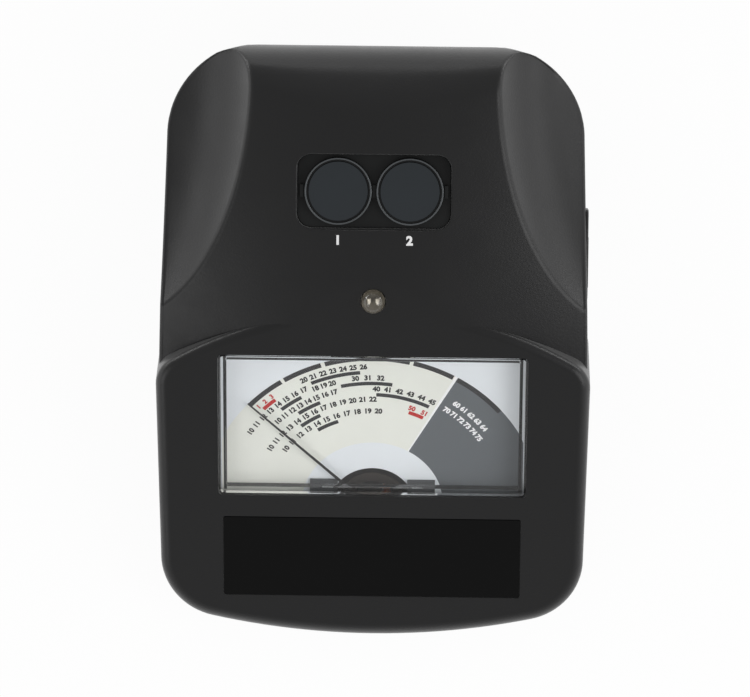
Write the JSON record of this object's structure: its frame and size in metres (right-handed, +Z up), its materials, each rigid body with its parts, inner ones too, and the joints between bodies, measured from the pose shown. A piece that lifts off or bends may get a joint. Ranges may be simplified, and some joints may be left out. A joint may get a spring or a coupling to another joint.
{
  "type": "gemstone tester",
  "caption": "Desk gemstone tester with a sloped analog meter panel, reference discs in a tray, a ready lamp, a side power switch and a battery bay.",
  "frame": {"origin": "centre of the bounding box on the plane that the feet stand on", "axes": "+X to the right of a user who reads the meter, +Y to the rear, +Z up"},
  "size_m": [0.1116, 0.156, 0.0521],
  "materials": {
    "housing_black": "fine-textured black ABS",
    "screw_steel": "zinc-plated steel",
    "foot_rubber": "soft black rubber",
    "label_black": "satin black label film",
    "tray_black": "satin black moulding",
    "disc_glass": "polished dark disc",
    "ring_metal": "dark anodised ring",
    "lamp_clear": "clear lens",
    "tinned_wire": "tinned wire",
    "inner_plastic": "black moulding",
    "cover_clear": "clear moulded polystyrene",
    "dial_white": "printed aluminium sheet",
    "clamp_grey": "grey plated tab",
    "needle_black": "black painted aluminium",
    "bobbin_aluminium": "bare aluminium",
    "coil_copper": "enamelled copper wire",
    "pivot_steel": "polished steel",
    "spring_bronze": "phosphor bronze strip",
    "brass_small": "turned brass",
    "magnet_metal": "sintered magnet",
    "yoke_iron": "soft iron",
    "frame_grey": "grey die casting",
    "board_green": "green solder resist",
    "chip_black": "moulded package",
    "capacitor_sleeve": "printed sleeve left bare",
    "trimmer_blue": "blue moulding",
    "switch_steel": "tinned steel shell",
    "knob_black": "ribbed black knob",
    "contact_nickel": "nickel-plated spring steel",
    "cell_sleeve": "plain sleeve on a steel can",
    "lead_sleeve": "insulated wire"
  },
  "bodies": {
    "tester_body": {"upper_housing": "housing_black", "lower_housing": "housing_black", "housing_screws": "screw_steel", "rubber_feet": "foot_rubber", "name_plate": "label_black", "disc_tray": "tray_black", "reference_disc_left": "disc_glass", "reference_disc_right": "disc_glass", "disc_rings": "ring_metal", "ready_lamp": "lamp_clear", "lamp_leads": "tinned_wire", "lamp_spacer": "inner_plastic", "meter_cover": "cover_clear", "meter_case": "inner_plastic", "meter_screws": "screw_steel", "dial_plate": "dial_white", "dial_screws": "screw_steel", "dial_clamps": "clamp_grey", "upper_hairspring": "spring_bronze", "lower_hairspring": "spring_bronze", "upper_jewel_screw": "brass_small", "lower_jewel_screw": "brass_small", "core_magnet": "magnet_metal", "yoke_ring": "yoke_iron", "meter_frame": "frame_grey", "upper_bridge": "frame_grey", "meter_terminals": "brass_small", "main_board": "board_green", "board_screws": "screw_steel", "measuring_chip": "chip_black", "capacitors": "capacitor_sleeve", "calibration_trimmer": "trimmer_blue", "power_switch_body": "switch_steel", "probe_socket": "inner_plastic", "power_socket": "inner_plastic", "battery_contacts": "contact_nickel", "battery_cells": "cell_sleeve", "internal_leads": "lead_sleeve"},
    "meter_needle": {"needle": "needle_black", "coil_bobbin": "bobbin_aluminium", "coil_winding": "coil_copper", "coil_pivots": "pivot_steel"},
    "switch_knob": {"power_switch_knob": "knob_black"},
    "bay_door": {"battery_door": "housing_black"}
  },
  "joints": [
    {"name": "needle_swing", "type": "hinge", "parent": "tester_body", "child": "meter_needle", "pos_m": [0, -0.04447, 0.02384], "axis": [0, 0.3502, -0.9367], "range_deg": [0, 94], "stiffness_Nm_per_rad": 0.00002, "deforming": ["upper_hairspring", "lower_hairspring"]},
    {"name": "power_slide", "type": "slide", "parent": "tester_body", "child": "switch_knob", "axis": [0, 1, 0], "range_m": [0, 0.004]},
    {"name": "door_slide", "type": "slide", "parent": "tester_body", "child": "bay_door", "axis": [0, 1, 0], "range_m": [0, 0.064]}
  ]
}
